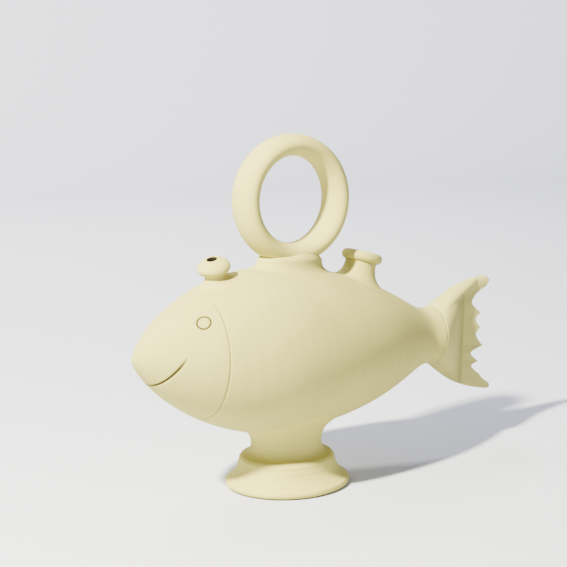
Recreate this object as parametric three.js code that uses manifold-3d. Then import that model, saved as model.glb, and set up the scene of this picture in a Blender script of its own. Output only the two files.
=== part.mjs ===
// Fish-shaped clay water jug on a pedestal foot.
// Sizes are in millimetres. The fish looks towards -X and stands on the plane z = 0.
import * as THREE from 'three';
import { mergeVertices } from 'three/addons/utils/BufferGeometryUtils.js';
import Module from 'manifold-3d';

const wasm = await Module();
wasm.setup();

// Clay: thickness of thrown walls, gap at the joins, thickness of a flared root at its edge
const WALL = 6;
const CLEARANCE = 0.3;
const ROOT_EDGE = 1;

// Body: an ogive from the nose to the fullest section, then a long curve down to the waist
const BODY_RADIUS = 70.1;
const FRONT_LENGTH = 127.3;
const REAR_LENGTH = 171.5;
const WAIST_RADIUS = 25.7;
const WAIST_TO_SEAM = 10;
const FULLEST_AHEAD_OF_FOOT = 18.6;
const NOSE_RISE = THREE.MathUtils.degToRad(4.2);

// Shape of the body's curves: powers of the ogive, shares of the rear length, opening behind the waist
const NOSE_POWER = 1.86;
const NOSE_BLUNTNESS = 0.772;
const REAR_FULLNESS = 0.617;
const WAIST_TIGHTNESS = 0.121;
const WAIST_OPENING = 0.006;

// Tail fin: a tube pinched flat behind the crease, with a thick upper rim
const FIN_CREASE = 36;
const FIN_HALF_SLAB = 4;
const FIN_CREASE_SWEEP = 15;
const FIN_RIM_BULGE = 3.2;
const FIN_UPPER_HEIGHT = 53.5;
const FIN_UPPER_REACH = 71;
const FIN_LOWER_HEIGHT = 56;
const FIN_LOWER_REACH = 77.5;
const FIN_CAVITY_HALF_TIP = 2.8;

// Shape of the fin: controls of its edges, fullness of the tube and steepness at the crease, squareness of the slab,
// height shares of the rim, roundness of the notches
const FIN_FLARE_SWELL = 2;
const FIN_FLARE_START = 0.11;
const FIN_FLARE_END = 0.28;
const FIN_FLARE_HEIGHT = 0.92;
const FIN_FULLNESS = 2.2;
const FIN_STEEPNESS = 0.75;
const FIN_SQUARENESS = 4;
const FIN_RIM_START = 0.55;
const FIN_RIM_FULL = 0.85;
const FIN_NOTCH_ROUNDNESS = 1.6;

// Cut end of the fin from the lower lobe to the upper one: height share, distance behind the seam
const FIN_CUTS = [
  { height: -1, reach: 73 },
  { height: -0.97, reach: 76.5 },
  { height: -0.9, reach: 75 },
  { height: -0.75, reach: 62.4 },
  { height: -0.61, reach: 51.8 },
  { height: -0.52, reach: 60.2 },
  { height: -0.38, reach: 50.2 },
  { height: -0.24, reach: 64.9 },
  { height: -0.02, reach: 55.7 },
  { height: 0.08, reach: 61 },
  { height: 0.25, reach: 54.6 },
  { height: 0.35, reach: 60.8 },
  { height: 0.57, reach: 49 },
  { height: 0.66, reach: 52.1 },
  { height: 0.81, reach: 65.4 },
  { height: 0.92, reach: 68.5 },
  { height: 1, reach: 65 },
];

// Carrying ring and the collar that holds it
const RING_RADIUS = 45.9;
const RING_HALF_DEPTH = 9.4;
const RING_HALF_WIDTH = 15.8;
const RING_BEHIND_FOOT = 4.2;
const RING_ABOVE_BODY = 2;
const COLLAR_HEIGHT = 8.8;
const COLLAR_HALF_LENGTH = 31;
const COLLAR_RIM = 3.6;
const COLLAR_ROOT_FLARE = 7;

// Filling neck behind the collar
const FILLER_BEHIND_COLLAR = 3.8;
const FILLER_LEAN = THREE.MathUtils.degToRad(13.5);
const FILLER_HEIGHT = 24.5;
const FILLER_BORE_RADIUS = 9.5;
const FILLER_WALL = 4.3;
const FILLER_LIP_OVERHANG = 4.2;
const FILLER_LIP_HEIGHT = 9;
const FILLER_ROOT_FLARE = 13;

// Drinking spout ahead of the collar
const SPOUT_AHEAD_OF_COLLAR = 7;
const SPOUT_LEAN = THREE.MathUtils.degToRad(18);
const SPOUT_BORE_RADIUS = 4;
const SPOUT_WALL = 5.5;
const SPOUT_BEAD_OVERHANG = 4.5;
const SPOUT_BEAD_HALF_DEPTH = 7.5;
const SPOUT_BEAD_HEIGHT = 11.8;
const SPOUT_MOUTH_FLARE = 0.6;
const SPOUT_MOUTH_DEPTH = 2.5;
const SPOUT_ROOT_FLARE = 13;

// Foot: a waisted stem on a base with a round shoulder and a flared skirt
const STEM_RADIUS = 30.5;
const STEM_WALL = 6.5;
const STEM_NECK_HEIGHT = 12.3;
const STEM_TOE_HEIGHT = 9.2;
const STEM_ROOT_FLARE = 17;
const STEM_TOE_FLARE = 6.5;
const BASE_SHOULDER_ROUND = 4.5;
const BASE_WALL_HEIGHT = 3.5;
const BASE_WALL_TAPER = 1;
const BASE_SKIRT_HEIGHT = 19.5;
const BASE_SKIRT_FLARE = 11.1;
const BASE_SKIRT_DIP = 8;
const BASE_EDGE_ROUND = 3.2;
const BASE_RING_WIDTH = 6;

// Facets
const BODY_FACETS = 40;
const NOSE_STEPS = 12;
const REAR_STEPS = 16;
const NOSE_CROWDING = 1.6;
const NECK_FACETS = 28;
const SECTION_FACETS = 16;
const ROUND_STEPS = 6;
const UNDERSIDE_STEPS = 5;
const FIN_TUBE_STEPS = 8;
const FIN_SLAB_STEPS = 4;

const RIGHT_ANGLE = Math.PI / 2;

// Places along the body's axis, measured from the foot towards the tail
const fullestPlace = -FULLEST_AHEAD_OF_FOOT;
const nosePlace = fullestPlace - FRONT_LENGTH;
const waistPlace = fullestPlace + REAR_LENGTH;
const seamPlace = waistPlace + WAIST_TO_SEAM;
const ringPlace = RING_BEHIND_FOOT;

// Curves

function bezier(first, second, third, fourth, share) {
  const rest = 1 - share;
  const inner = 3 * rest * share * (rest * second + share * third);
  return rest ** 3 * first + inner + share ** 3 * fourth;
}

// Height of a cubic curve at a given length along it; both are lists of the four controls
function heightAt(lengths, heights, length) {
  let low = 0;
  let high = 1;
  while (high - low > 1e-9) {
    const middle = (low + high) / 2;
    if (bezier(...lengths, middle) < length) low = middle;
    else high = middle;
  }
  return bezier(...heights, (low + high) / 2);
}

// A quarter bend between two points, tangent at both to the lines that meet in the corner
function bend(start, corner, end, steps) {
  return Array.from({ length: steps + 1 }, (_, step) => {
    const share = step / steps;
    const mix = (axis) =>
      (1 - share) ** 2 * start[axis] + 2 * share * (1 - share) * corner[axis] + share ** 2 * end[axis];
    return [mix(0), mix(1)];
  });
}

// Part of an ellipse; the angles are measured from the outward direction
function arc(centre, across, up, from, to, steps) {
  return Array.from({ length: steps + 1 }, (_, step) => {
    const angle = from + ((to - from) * step) / steps;
    return [centre[0] + across * Math.cos(angle), centre[1] + up * Math.sin(angle)];
  });
}

// Skins and solids

// Merges shared vertices, drops faces that have shrunk to a line and turns the rest outwards
function tidy(geometry) {
  geometry.deleteAttribute('normal');
  geometry.deleteAttribute('uv');
  const merged = mergeVertices(geometry, 1e-4);
  const corners = Array.from({ length: 3 }, () => new THREE.Vector3());
  const faces = [];
  let volume = 0;
  for (let face = 0; face < merged.index.count; face += 3) {
    const triple = [0, 1, 2].map((corner) => merged.index.getX(face + corner));
    if (new Set(triple).size < 3) continue;
    triple.forEach((vertex, corner) => corners[corner].fromBufferAttribute(merged.attributes.position, vertex));
    volume += corners[0].dot(corners[1].clone().cross(corners[2]));
    faces.push(triple);
  }
  const outward = volume > 0 ? faces : faces.map((triple) => triple.reverse());
  merged.setIndex(outward.flat());
  merged.computeVertexNormals();
  return merged;
}

// A closed skin over columns of points. The columns stand round in a ring. Each one closes on itself when it is
// looped, and otherwise its two ends meet those of the other columns.
function skin(columns, looped) {
  const rows = columns[0].length;
  const at = (column, row) => (column % columns.length) * rows + (row % rows);
  const index = [];
  for (let column = 0; column < columns.length; column += 1) {
    for (let row = 0; row < (looped ? rows : rows - 1); row += 1) {
      index.push(at(column, row), at(column + 1, row), at(column + 1, row + 1));
      index.push(at(column, row), at(column + 1, row + 1), at(column, row + 1));
    }
  }
  const geometry = new THREE.BufferGeometry();
  const numbers = columns.flat().flatMap((point) => point.toArray());
  geometry.setAttribute('position', new THREE.Float32BufferAttribute(numbers, 3));
  geometry.setIndex(index);
  return tidy(geometry);
}

// An outline of [radius, height] points turned round the Z axis
function turned(outline, facets, looped) {
  const columns = Array.from({ length: facets }, (_, facet) => {
    const angle = (2 * Math.PI * facet) / facets;
    return outline.map(([radius, height]) =>
      new THREE.Vector3(radius * Math.cos(angle), radius * Math.sin(angle), height));
  });
  return skin(columns, looped);
}

function solid(geometry) {
  return new wasm.Manifold(new wasm.Mesh({
    numProp: 3,
    vertProperties: new Float32Array(geometry.attributes.position.array),
    triVerts: new Uint32Array(geometry.index.array),
  }));
}

function carved(geometry, ...cutters) {
  const result = cutters.reduce((rest, cutter) => rest.subtract(solid(cutter)), solid(geometry)).getMesh();
  const cut = new THREE.BufferGeometry();
  cut.setAttribute('position', new THREE.Float32BufferAttribute(result.vertProperties, 3));
  cut.setIndex(Array.from(result.triVerts));
  return tidy(cut);
}

function piece(name, colour) {
  const mesh = new THREE.Mesh();
  mesh.material = new THREE.MeshStandardMaterial({ color: colour, roughness: 0.9, metalness: 0 });
  mesh.name = name;
  return mesh;
}

// Body

function bodyRadius(place) {
  if (place <= fullestPlace) {
    const share = Math.min((fullestPlace - place) / FRONT_LENGTH, 1);
    return BODY_RADIUS * (1 - share ** NOSE_POWER) ** NOSE_BLUNTNESS;
  }
  if (place >= waistPlace) return WAIST_RADIUS + WAIST_OPENING * (place - waistPlace) ** 2;
  const lengths = [0, REAR_FULLNESS, 1 - WAIST_TIGHTNESS, 1];
  const radii = [BODY_RADIUS, BODY_RADIUS, WAIST_RADIUS, WAIST_RADIUS];
  return heightAt(lengths, radii, (place - fullestPlace) / REAR_LENGTH);
}

// Angle between the body's skin and its axis
function bodyTilt(place) {
  const step = 0.01;
  return Math.atan2(bodyRadius(place + step) - bodyRadius(place - step), 2 * step);
}

// Distance from a point to the body's skin along a direction that leads out of the body
function distanceToSkin(point, direction) {
  let low = -BODY_RADIUS;
  let high = 2 * BODY_RADIUS;
  while (high - low > 1e-6) {
    const middle = (low + high) / 2;
    const probe = direction.clone().multiplyScalar(middle).add(point);
    if (Math.hypot(probe.y, probe.z) < bodyRadius(probe.x)) low = middle;
    else high = middle;
  }
  return (low + high) / 2;
}

// Places from the nose to the seam, closer together towards the nose
function placesAlongBody(noseSteps, rearSteps) {
  const front = Array.from({ length: noseSteps }, (_, step) =>
    nosePlace + FRONT_LENGTH * (step / noseSteps) ** NOSE_CROWDING);
  const rear = Array.from({ length: rearSteps + 1 }, (_, step) =>
    fullestPlace + ((seamPlace - fullestPlace) * step) / rearSteps);
  return [...front, ...rear];
}

function bodyShell(bores) {
  const outside = placesAlongBody(NOSE_STEPS, REAR_STEPS).map((place) => [bodyRadius(place), place]);
  const inside = placesAlongBody(NOSE_STEPS / 2, REAR_STEPS / 2)
    .slice(1, -1)
    .map((place) => {
      const tilt = bodyTilt(place);
      return [bodyRadius(place) - WALL * Math.cos(tilt), place + WALL * Math.sin(tilt)];
    })
    .filter(([radius, place]) => radius > 0 && place < seamPlace);
  const [tipRadius, tipPlace] = inside[0];
  const chamber = [[0, tipPlace - tipRadius], ...inside, [bodyRadius(seamPlace) - WALL, seamPlace]];
  const shell = turned([...outside, ...chamber.reverse()], BODY_FACETS, false);
  shell.rotateY(RIGHT_ANGLE);
  return carved(shell, ...bores);
}

// Necks that stand on the body

// A piece with a root that follows the body's skin. The outline is made afresh for every direction, because the
// skin lies at another height there.
function saddled(matrix, stretch, facets, looped, outlineOn) {
  const up = new THREE.Vector3(0, 0, 1).transformDirection(matrix);
  const columns = Array.from({ length: facets }, (_, facet) => {
    const angle = (2 * Math.PI * facet) / facets;
    const along = stretch * Math.cos(angle);
    const across = Math.sin(angle);
    const skinHeight = (radius) =>
      distanceToSkin(new THREE.Vector3(radius * along, radius * across, 0).applyMatrix4(matrix), up);
    return outlineOn(skinHeight).map(([radius, height]) =>
      new THREE.Vector3(radius * along, radius * across, height));
  });
  return skin(columns, looped);
}

// Underside along the skin from one radius to another, then the root's edge and its flare up to the neck
function rootOutline(skinHeight, inner, neck, root, flareTop) {
  const underside = Array.from({ length: UNDERSIDE_STEPS + 1 }, (_, step) => {
    const radius = inner + ((root - inner) * step) / UNDERSIDE_STEPS;
    return [radius, skinHeight(radius) + CLEARANCE];
  });
  const edge = [root, skinHeight(root) + CLEARANCE + ROOT_EDGE];
  const corner = [neck, skinHeight(neck) + CLEARANCE + ROOT_EDGE];
  return [...underside, ...bend(edge, corner, [neck, flareTop], ROUND_STEPS)];
}

// Stands a piece on the back of the body; the lean is towards the tail
function standOnBack(mesh, place, lean) {
  mesh.position.set(place, 0, bodyRadius(place));
  mesh.rotation.y = lean;
  mesh.updateMatrix();
}

// The bore of a neck, carried on through the wall below it
function boreThroughWall(mesh, radius) {
  const bore = tidy(new THREE.CylinderGeometry(radius, radius, 4 * WALL, NECK_FACETS));
  bore.rotateX(RIGHT_ANGLE);
  return bore.applyMatrix4(mesh.matrix);
}

const fillerNeckRadius = FILLER_BORE_RADIUS + FILLER_WALL;
const fillerRootRadius = fillerNeckRadius + FILLER_ROOT_FLARE;

// Flared neck with a rolled lip, rounded into the bore
function fillerNeck(matrix) {
  const lipRound = FILLER_LIP_HEIGHT / 2;
  const lipCentre = [fillerNeckRadius + FILLER_LIP_OVERHANG - lipRound, FILLER_HEIGHT - lipRound];
  const mouthRound = lipCentre[0] - FILLER_BORE_RADIUS;
  const mouthCentre = [lipCentre[0], FILLER_HEIGHT - mouthRound];
  const flareTop = FILLER_HEIGHT - FILLER_LIP_HEIGHT;
  return saddled(matrix, 1, NECK_FACETS, true, (skinHeight) => [
    ...rootOutline(skinHeight, FILLER_BORE_RADIUS, fillerNeckRadius, fillerRootRadius, flareTop),
    ...arc(lipCentre, lipRound, lipRound, -RIGHT_ANGLE, RIGHT_ANGLE, ROUND_STEPS),
    ...arc(mouthCentre, mouthRound, mouthRound, RIGHT_ANGLE, 2 * RIGHT_ANGLE, ROUND_STEPS / 2).slice(1),
  ]);
}

const spoutNeckRadius = SPOUT_BORE_RADIUS + SPOUT_WALL;
const spoutRootRadius = spoutNeckRadius + SPOUT_ROOT_FLARE;

// Short neck under a flattened bead with a small countersunk hole
function drinkingSpout(matrix) {
  const beadRadius = spoutNeckRadius + SPOUT_BEAD_OVERHANG;
  const from = -Math.acos(spoutNeckRadius / beadRadius);
  const to = Math.acos((SPOUT_BORE_RADIUS + SPOUT_MOUTH_FLARE) / beadRadius);
  const bead = arc([0, SPOUT_BEAD_HEIGHT], beadRadius, SPOUT_BEAD_HALF_DEPTH, from, to, ROUND_STEPS);
  const mouthHeight = bead[ROUND_STEPS][1];
  const flareTop = (SPOUT_BEAD_HEIGHT - SPOUT_BEAD_HALF_DEPTH + bead[0][1]) / 2;
  return saddled(matrix, 1, NECK_FACETS, true, (skinHeight) => [
    ...rootOutline(skinHeight, SPOUT_BORE_RADIUS, spoutNeckRadius, spoutRootRadius, flareTop),
    ...bead,
    [SPOUT_BORE_RADIUS, mouthHeight - SPOUT_MOUTH_DEPTH],
  ]);
}

// Ring and collar

const collarHalfWidth = RING_HALF_WIDTH + COLLAR_RIM;
const collarStretch = COLLAR_HALF_LENGTH / collarHalfWidth;
const collarRootHalfLength = collarStretch * (collarHalfWidth + COLLAR_ROOT_FLARE);

// Flattened ring that stands across the body's axis; growth gives the groove that it sits in
function ringSkin(growth) {
  const halfDepth = RING_HALF_DEPTH + growth;
  const ring = new THREE.TorusGeometry(RING_RADIUS, halfDepth, SECTION_FACETS, BODY_FACETS);
  ring.scale(1, 1, (RING_HALF_WIDTH + growth) / halfDepth);
  ring.rotateX(RIGHT_ANGLE);
  return tidy(ring);
}

// Oval saddle with a flat top, grooved for the ring
function handleCollar(matrix, groove) {
  const firstRadius = collarHalfWidth / UNDERSIDE_STEPS;
  const rootRadius = collarHalfWidth + COLLAR_ROOT_FLARE;
  const pad = saddled(matrix, collarStretch, BODY_FACETS, false, (skinHeight) => [
    [0, skinHeight(0) + CLEARANCE],
    ...rootOutline(skinHeight, firstRadius, collarHalfWidth, rootRadius, COLLAR_HEIGHT),
    [0, COLLAR_HEIGHT],
  ]);
  return carved(pad, groove);
}

// Foot

const baseWallTop = BASE_SKIRT_HEIGHT + BASE_WALL_HEIGHT;
const baseHeight = baseWallTop + BASE_SHOULDER_ROUND;
const footHeight = baseHeight + CLEARANCE + STEM_TOE_HEIGHT + STEM_NECK_HEIGHT;
const footBoreRadius = STEM_RADIUS - STEM_WALL;
const toeRadius = STEM_RADIUS + STEM_TOE_FLARE;

// Hollow stem, made head down from the belly to its toe on the base
function footStem(matrix) {
  const rootRadius = STEM_RADIUS + STEM_ROOT_FLARE;
  const waist = [STEM_RADIUS, STEM_NECK_HEIGHT];
  const toeHeight = STEM_NECK_HEIGHT + STEM_TOE_HEIGHT;
  const toe = [toeRadius, toeHeight - ROOT_EDGE];
  return saddled(matrix, 1, BODY_FACETS, true, (skinHeight) => [
    ...rootOutline(skinHeight, footBoreRadius, STEM_RADIUS, rootRadius, STEM_NECK_HEIGHT),
    ...bend(waist, [STEM_RADIUS, toe[1]], toe, ROUND_STEPS / 2).slice(1),
    [toeRadius, toeHeight],
    [footBoreRadius, toeHeight],
  ]);
}

// Hollow base: ledge, round shoulder, short wall, flared skirt, round edge, standing ring, bell inside
function footBase() {
  const shoulderRadius = toeRadius + BASE_SHOULDER_ROUND;
  const wallFoot = [shoulderRadius + BASE_WALL_TAPER, BASE_SKIRT_HEIGHT];
  const edgeCentre = [wallFoot[0] + BASE_SKIRT_FLARE - BASE_EDGE_ROUND, BASE_EDGE_ROUND];
  const edge = arc(edgeCentre, BASE_EDGE_ROUND, BASE_EDGE_ROUND, RIGHT_ANGLE / 2, -RIGHT_ANGLE, ROUND_STEPS);
  const skirtCorner = [wallFoot[0] + BASE_WALL_TAPER, BASE_SKIRT_HEIGHT - BASE_SKIRT_DIP];
  const hollow = [edgeCentre[0] - BASE_RING_WIDTH, 0];
  const bellCorner = [(hollow[0] + footBoreRadius) / 2, baseHeight / 4];
  const bellTop = [footBoreRadius, baseHeight - BASE_SHOULDER_ROUND / 2];
  const outline = [
    [footBoreRadius, baseHeight],
    ...arc([toeRadius, baseWallTop], BASE_SHOULDER_ROUND, BASE_SHOULDER_ROUND, RIGHT_ANGLE, 0, ROUND_STEPS / 2),
    ...bend(wallFoot, skirtCorner, edge[0], ROUND_STEPS),
    ...edge.slice(1),
    ...bend(hollow, bellCorner, bellTop, ROUND_STEPS),
  ];
  return turned(outline, BODY_FACETS, true);
}

// Tail fin

const finRootRadius = bodyRadius(seamPlace);

// Distance from the seam to the crease, which is swept back under the rim
function finCrease(heightShare) {
  return FIN_CREASE + FIN_CREASE_SWEEP * THREE.MathUtils.smoothstep(heightShare, FIN_RIM_START, FIN_RIM_FULL);
}

// Half the thickness before the edges are rounded: full at the seam, falling steeply to the slab at the crease,
// where the pinch is 1
function finHalfThickness(pinch) {
  return FIN_HALF_SLAB + (finRootRadius - FIN_HALF_SLAB) * (1 - pinch ** FIN_FULLNESS) ** FIN_STEEPNESS;
}

// Upper or lower edge of the fin at a distance behind the seam
function finEdge(distance, reach, height) {
  const lengths = [0, FIN_FLARE_START * reach, FIN_FLARE_END * reach, reach];
  const heights = [finRootRadius, finRootRadius + FIN_FLARE_SWELL, FIN_FLARE_HEIGHT * height, height];
  return heightAt(lengths, heights, Math.min(distance, reach));
}

// A point on one side of the fin, or of the hollow that lies inset in it. The height share runs from -1 at the
// lower edge to 1 at the upper one. The section is round at the seam and grows square towards the crease.
function finPoint(distance, heightShare, side, inset) {
  const upper = finEdge(distance, FIN_UPPER_REACH, FIN_UPPER_HEIGHT) - inset;
  const lower = inset - finEdge(distance, FIN_LOWER_REACH, FIN_LOWER_HEIGHT);
  const height = (upper + lower + (upper - lower) * heightShare) / 2;
  const pinch = Math.min(distance / finCrease(heightShare), 1);
  const power = 2 + FIN_SQUARENESS * pinch ** 4;
  const roundness = (1 - Math.abs(heightShare) ** power) ** (1 / power);
  const rim = FIN_RIM_BULGE * pinch * THREE.MathUtils.smoothstep(heightShare, FIN_RIM_START, FIN_RIM_FULL);
  const thickness = (finHalfThickness(pinch) - inset + rim) * roundness;
  return new THREE.Vector3(seamPlace + distance, side * thickness, height);
}

// Length of the fin at a height share: scooped out between the cuts, round in the notches and sharp at the teeth
function finReach(heightShare) {
  const next = Math.max(FIN_CUTS.findIndex((cut) => cut.height >= heightShare), 1);
  const [notch, tooth] = [FIN_CUTS[next - 1], FIN_CUTS[next]].sort((first, second) => first.reach - second.reach);
  const share = (heightShare - notch.height) / (tooth.height - notch.height);
  return notch.reach + (tooth.reach - notch.reach) * share ** FIN_NOTCH_ROUNDNESS;
}

// Distances along the tube, closer together towards its end
function tubeRows(start, end) {
  return Array.from({ length: FIN_TUBE_STEPS + 1 }, (_, step) =>
    start + (end - start) * Math.sin((step / FIN_TUBE_STEPS) * RIGHT_ANGLE));
}

// Distances behind the seam at a height share, with one row of points on the crease
function finRows(heightShare) {
  const crease = finCrease(heightShare);
  const slab = finReach(heightShare) - crease;
  const slabRows = Array.from({ length: FIN_SLAB_STEPS }, (_, step) => crease + (slab * (step + 1)) / FIN_SLAB_STEPS);
  return [...tubeRows(CLEARANCE, crease), ...slabRows];
}

// Columns of points along the given distances behind the seam, up one side and down the other
function finSkin(heightShares, rowsAt, inset) {
  const column = (heightShare, side) => {
    const points = rowsAt(heightShare).map((distance) => finPoint(distance, heightShare, side, inset));
    const start = new THREE.Vector3(points[0].x, 0, 0);
    return [start, ...points, points[points.length - 1].clone().setY(0)];
  };
  const near = heightShares.map((heightShare) => column(heightShare, -1));
  const far = heightShares.slice(1, -1).reverse().map((heightShare) => column(heightShare, 1));
  return skin([...near, ...far], false);
}

function tailFin() {
  const cuts = FIN_CUTS.map((cut) => cut.height);
  const between = cuts.slice(1).map((height, order) => (height + cuts[order]) / 2);
  const shares = [...cuts, ...between].sort((first, second) => first - second);
  const fin = finSkin(shares, finRows, 0);
  const even = Array.from({ length: SECTION_FACETS + 1 }, (_, step) =>
    Math.sin(((2 * step) / SECTION_FACETS - 1) * RIGHT_ANGLE));
  const tipShare = (WALL + FIN_CAVITY_HALF_TIP - FIN_HALF_SLAB) / (finRootRadius - FIN_HALF_SLAB);
  const cavityDepth = FIN_CREASE * (1 - tipShare ** (1 / FIN_STEEPNESS)) ** (1 / FIN_FULLNESS);
  const cavity = finSkin(even, () => tubeRows(0, cavityDepth), WALL);
  return carved(fin, cavity);
}

// Assembly

const jug = new THREE.Group();
jug.name = 'fish_jug';
const fish = new THREE.Group();
fish.name = 'fish';
fish.rotation.y = NOSE_RISE;
const downInFish = new THREE.Vector3(Math.sin(NOSE_RISE), 0, -Math.cos(NOSE_RISE));
fish.position.z = footHeight + distanceToSkin(new THREE.Vector3(), downInFish);
fish.updateMatrix();

const filler = piece('filler_neck', 0xe8e1c2);
const fillerPlace = ringPlace + collarRootHalfLength + FILLER_BEHIND_COLLAR + fillerRootRadius;
standOnBack(filler, fillerPlace, FILLER_LEAN);
filler.geometry = fillerNeck(filler.matrix);

const spout = piece('drinking_spout', 0xe9e3c6);
const spoutPlace = ringPlace - collarRootHalfLength - SPOUT_AHEAD_OF_COLLAR - spoutRootRadius;
standOnBack(spout, spoutPlace, -SPOUT_LEAN);
spout.geometry = drinkingSpout(spout.matrix);

const ring = piece('handle_ring', 0xe7dfbf);
const ringLift = RING_ABOVE_BODY + RING_HALF_DEPTH + RING_RADIUS;
ring.geometry = ringSkin(0);
ring.position.set(ringPlace, 0, bodyRadius(ringPlace) + ringLift);

const collar = piece('handle_collar', 0xe5ddbc);
standOnBack(collar, ringPlace, 0);
collar.geometry = handleCollar(collar.matrix, ringSkin(CLEARANCE).translate(0, 0, ringLift));

const shell = piece('body_shell', 0xe6dfbf);
shell.geometry = bodyShell([
  boreThroughWall(filler, FILLER_BORE_RADIUS),
  boreThroughWall(spout, SPOUT_BORE_RADIUS),
]);

const tail = piece('tail_fin', 0xddd5b4);
tail.geometry = tailFin();
fish.add(shell, tail, collar, ring, filler, spout);

const stem = piece('foot_stem', 0xe2dab8);
stem.position.z = footHeight;
stem.rotation.x = Math.PI;
stem.updateMatrix();
stem.geometry = footStem(fish.matrix.clone().invert().multiply(stem.matrix));

const base = piece('foot_base', 0xe6dfbd);
base.geometry = footBase();
jug.add(fish, stem, base);

// The origin lies on the floor under the middle of the whole length
const extent = new THREE.Box3().setFromObject(jug, true);
jug.position.x = -(extent.min.x + extent.max.x) / 2;

export default jug;
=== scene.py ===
"""Fish-shaped water jug of pale unglazed clay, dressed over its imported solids.

Sizes are in millimetres until a piece becomes a mesh, which is in metres.
The fish has its own frame: along the axis from the foot to the tail, across it, and up its back.
"""

import math

import bmesh
import bpy
import numpy as np
from mathutils import Matrix, Vector


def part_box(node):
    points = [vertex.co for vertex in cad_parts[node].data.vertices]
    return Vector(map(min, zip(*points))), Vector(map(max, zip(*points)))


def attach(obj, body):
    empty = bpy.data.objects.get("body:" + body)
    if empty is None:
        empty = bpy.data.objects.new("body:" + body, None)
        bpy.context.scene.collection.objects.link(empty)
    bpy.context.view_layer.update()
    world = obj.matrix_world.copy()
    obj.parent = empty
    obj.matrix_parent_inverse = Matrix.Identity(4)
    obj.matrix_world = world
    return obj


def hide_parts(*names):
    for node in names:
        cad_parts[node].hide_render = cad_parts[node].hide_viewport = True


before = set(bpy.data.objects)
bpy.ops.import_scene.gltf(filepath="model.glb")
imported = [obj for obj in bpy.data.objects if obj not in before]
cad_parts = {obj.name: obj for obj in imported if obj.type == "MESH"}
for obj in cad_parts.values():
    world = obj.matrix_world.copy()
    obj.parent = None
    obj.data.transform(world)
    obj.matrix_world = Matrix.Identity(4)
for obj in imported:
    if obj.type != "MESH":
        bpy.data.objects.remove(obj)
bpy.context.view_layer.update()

MM = 0.001
TURN = 2 * np.pi

# Body
BODY_RADIUS = 70.1
FRONT_LENGTH = 127.3
REAR_LENGTH = 171.5
WAIST_RADIUS = 25.7
FULLEST = -18.6
NOSE = FULLEST - FRONT_LENGTH
WAIST = FULLEST + REAR_LENGTH
SEAM_BEHIND_WAIST = 10
SEAM = WAIST + SEAM_BEHIND_WAIST
NOSE_POWER = 1.86
NOSE_BLUNTNESS = 0.772
REAR_FULLNESS = 0.617
WAIST_TIGHTNESS = 0.121
WAIST_OPENING = 0.006
WALL = 6
NOSE_RISE = math.radians(4.2)
FISH_LIFT = 118.817

# Lines scored into the clay, each groove as its half width and its depth; the depth also sets how much painted
# shade lies in the groove
GILL = -86
GILL_GROOVE = (0.6, 0.8)
EYE_PLACE = -99.2
EYE_ANGLE = math.radians(44.7)
EYE_RADIUS = 5.6
EYE_GROOVE = (0.55, 1.2)
MOUTH_FRONT = -130.6
MOUTH_CORNER = -115.2
MOUTH_LOW = -21
MOUTH_SLOPE = 1.62
MOUTH_GROOVE = (0.8, 2)
TAIL_LINE = 161.9
TAIL_LINE_SLANT = 0.085
TAIL_GROOVE = (0.6, 0.55)

# Marks of the potter's hands: how uneven each piece is, and the spacing and size of its finger rings
BODY_WAVER = 0.22
BODY_RINGS = (5.2, 0.014)
RING_WAVER = 0.35
BASE_WAVER = 0.25
BASE_RINGS = (3.1, 0.16)
FIN_WAVER = 0.5

# Tail fin
FIN_CREASE = 39
FIN_CREASE_SWEEP = 14
FIN_FALL = 1.25
FIN_HALF_CREASE = 1.8
FIN_HALF_SLAB = 4
FIN_RIM_BULGE = 3.2
FIN_RIM_START = 0.72
FIN_RIM_FULL = 0.95
FIN_UPPER_HEIGHT = 53.5
FIN_UPPER_REACH = 71
FIN_LOWER_HEIGHT = 56
FIN_LOWER_REACH = 77.5
FIN_FLARE_SWELL = 2
FIN_FLARE_START = 0.11
FIN_FLARE_END = 0.28
FIN_FLARE_HEIGHT = 0.92
FIN_SQUARENESS = 4
FIN_NOTCH_ROUNDNESS = 1.6
FIN_EDGE_ROUND = 2.6

# Painted shade along the fin's crease: its width ahead of the crease and behind it, and its strength
CREASE_SHADE_AHEAD = 18
CREASE_SHADE_BEHIND = 1.2
CREASE_SHADE_STRENGTH = 0.12

# Cut end of the fin from the lower lobe to the upper one: height share, distance behind the seam
FIN_CUTS = np.array([
    (-1, 73), (-0.97, 76.5), (-0.9, 75), (-0.75, 62.4), (-0.61, 51.8), (-0.52, 60.2),
    (-0.38, 50.2), (-0.24, 64.9), (-0.02, 55.7), (0.08, 61), (0.25, 54.6), (0.35, 60.8),
    (0.57, 49), (0.66, 52.1), (0.81, 65.4), (0.92, 68.5), (1, 65),
])

# Ring and collar
RING_RADIUS = 45.9
RING_HALF_DEPTH = 9.4
RING_HALF_WIDTH = 15.8
RING_PLACE = 4.2
RING_ABOVE_BODY = 2
RING_LIFT = RING_ABOVE_BODY + RING_HALF_DEPTH + RING_RADIUS
COLLAR_HEIGHT = 8.8
COLLAR_HALF_LENGTH = 31
COLLAR_MARGIN = 3.6
COLLAR_FLARE = 7
COLLAR_HALF_WIDTH = RING_HALF_WIDTH + COLLAR_MARGIN
COLLAR_ROOT = COLLAR_HALF_WIDTH + COLLAR_FLARE
COLLAR_STRETCH = COLLAR_HALF_LENGTH / COLLAR_HALF_WIDTH
COLLAR_CORNER_ROUND = 3.2

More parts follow.
